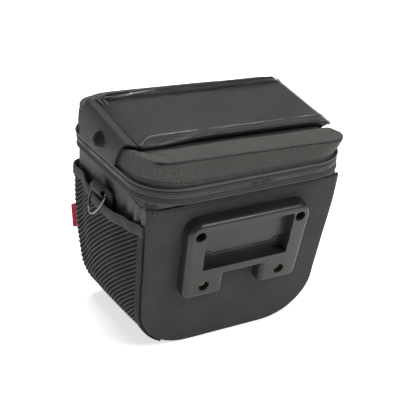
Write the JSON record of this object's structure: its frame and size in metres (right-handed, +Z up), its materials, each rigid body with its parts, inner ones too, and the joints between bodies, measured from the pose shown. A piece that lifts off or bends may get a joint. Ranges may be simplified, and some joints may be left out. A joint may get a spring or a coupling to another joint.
{
  "type": "bicycle handlebar bag",
  "caption": "Boxy cloth handlebar bag with a zipped lid, a clear phone pocket strapped over it, mesh side pockets, side rings and a moulded adapter plate on the back.",
  "frame": {"origin": "on the ground under the middle of the zip line, on the bag's flat bottom", "axes": "+Z up, +Y towards the bag's front away from the handlebar, adapter plate facing -Y, +X to the right as seen from the adapter plate's side"},
  "size_m": [0.1864, 0.1576, 0.1823],
  "materials": {
    "moulded_plastic": "satin",
    "screw_brass": "satin",
    "panel_cloth": "woven matte",
    "body_cloth": "woven matte",
    "clear_film": "clear film",
    "ring_steel": "plated",
    "coated_cloth": "coated, satin",
    "zip_tape": "woven matte",
    "piping": "satin",
    "lid_cloth": "woven matte",
    "net": "open knit",
    "binding": "ribbed tape",
    "tag_cloth": "woven",
    "snap": "gloss",
    "webbing": "ribbed webbing",
    "zip_teeth": "satin",
    "slider_metal": "satin black"
  },
  "bodies": {
    "bag": {"adapter_plate": "moulded_plastic", "adapter_screw_left": "screw_brass", "adapter_screw_right": "screw_brass", "back_panel": "panel_cloth", "body_shell": "body_cloth", "clear_window": "clear_film", "flap": "coated_cloth", "lid_hinge_strip": "zip_tape", "lid_piping": "piping", "lid_shell": "lid_cloth", "mesh_pocket_left": "net", "mesh_pocket_right": "net", "pocket_binding_left": "binding", "pocket_binding_right": "binding", "side_tag": "tag_cloth", "snap_left": "snap", "snap_right": "snap", "web_loop_left": "webbing", "web_loop_right": "webbing", "zip_chain": "zip_teeth", "zip_pull": "slider_metal", "zip_slider": "slider_metal", "zip_tape_lower": "zip_tape", "zip_tape_upper": "zip_tape"},
    "ring_left": {"d_ring_left": "ring_steel"},
    "ring_right": {"d_ring_right": "ring_steel"}
  },
  "joints": [
    {"name": "ring_left_swing", "type": "hinge", "parent": "bag", "child": "ring_left", "pos_m": [-0.08437, 0.0003, 0.12], "axis": [0, 1, 0], "range_deg": [0, 150]},
    {"name": "ring_right_swing", "type": "hinge", "parent": "bag", "child": "ring_right", "pos_m": [0.08437, 0.0003, 0.12], "axis": [0, -1, 0], "range_deg": [0, 150]}
  ]
}
